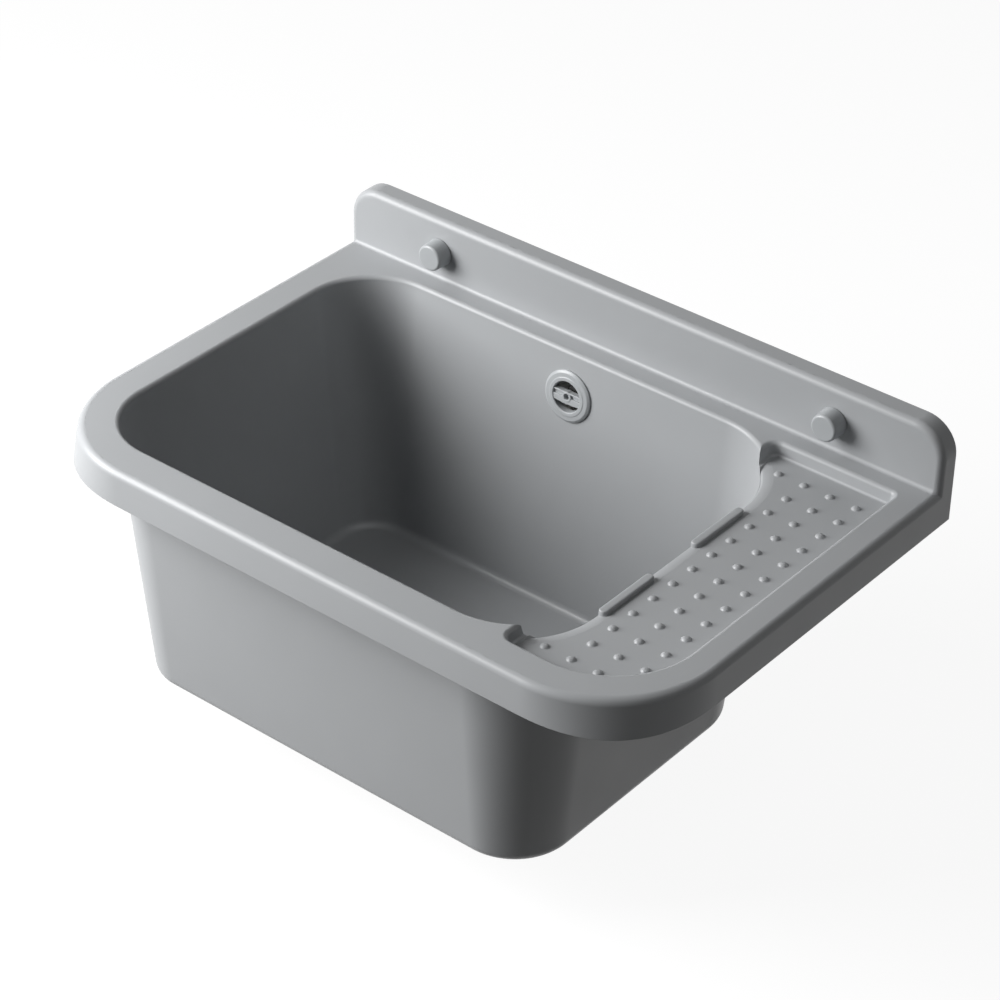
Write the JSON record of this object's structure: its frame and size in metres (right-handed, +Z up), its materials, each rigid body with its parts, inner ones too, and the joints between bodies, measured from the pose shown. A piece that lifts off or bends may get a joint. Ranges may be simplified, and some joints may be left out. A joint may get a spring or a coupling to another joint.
{
  "type": "wall hung utility basin with drain board",
  "caption": "Wall hung plastic utility basin: deep tapered bowl, splash back with capped fixing screws, nubbed drain board at the right, overflow rosette and waste.",
  "frame": {"origin": "on the wall plane behind the basin, midway between its two fixing screws", "axes": "+X to the right along the wall (the basin's long way), +Y into the wall, +Z up"},
  "size_m": [0.6, 0.437, 0.3585],
  "materials": {
    "basin_plastic": "satin",
    "fitting_plastic": "satin",
    "white_plastic": "satin",
    "seal_rubber": "matt",
    "screw_steel": "satin",
    "strainer_steel": "satin",
    "nut_brass": "satin"
  },
  "bodies": {
    "basin_body": {"basin": "basin_plastic", "overflow_rosette": "fitting_plastic", "overflow_screw": "screw_steel", "overflow_nut": "nut_brass", "overflow_seal": "seal_rubber", "overflow_elbow": "white_plastic", "waste_strainer": "strainer_steel", "waste_screw": "screw_steel", "waste_nut": "nut_brass", "waste_flange_seal": "seal_rubber", "waste_body_seal": "seal_rubber", "waste_body": "white_plastic", "wall_screw_left": "screw_steel", "wall_screw_right": "screw_steel", "wall_washer_left": "white_plastic", "wall_washer_right": "white_plastic"},
    "cap_left": {"screw_cap_left": "fitting_plastic"},
    "cap_right": {"screw_cap_right": "fitting_plastic"}
  },
  "joints": [
    {"name": "cap_left_pull", "type": "slide", "parent": "basin_body", "child": "cap_left", "axis": [0, -1, 0], "range_m": [0, 0.03]},
    {"name": "cap_right_pull", "type": "slide", "parent": "basin_body", "child": "cap_right", "axis": [0, -1, 0], "range_m": [0, 0.03]}
  ]
}
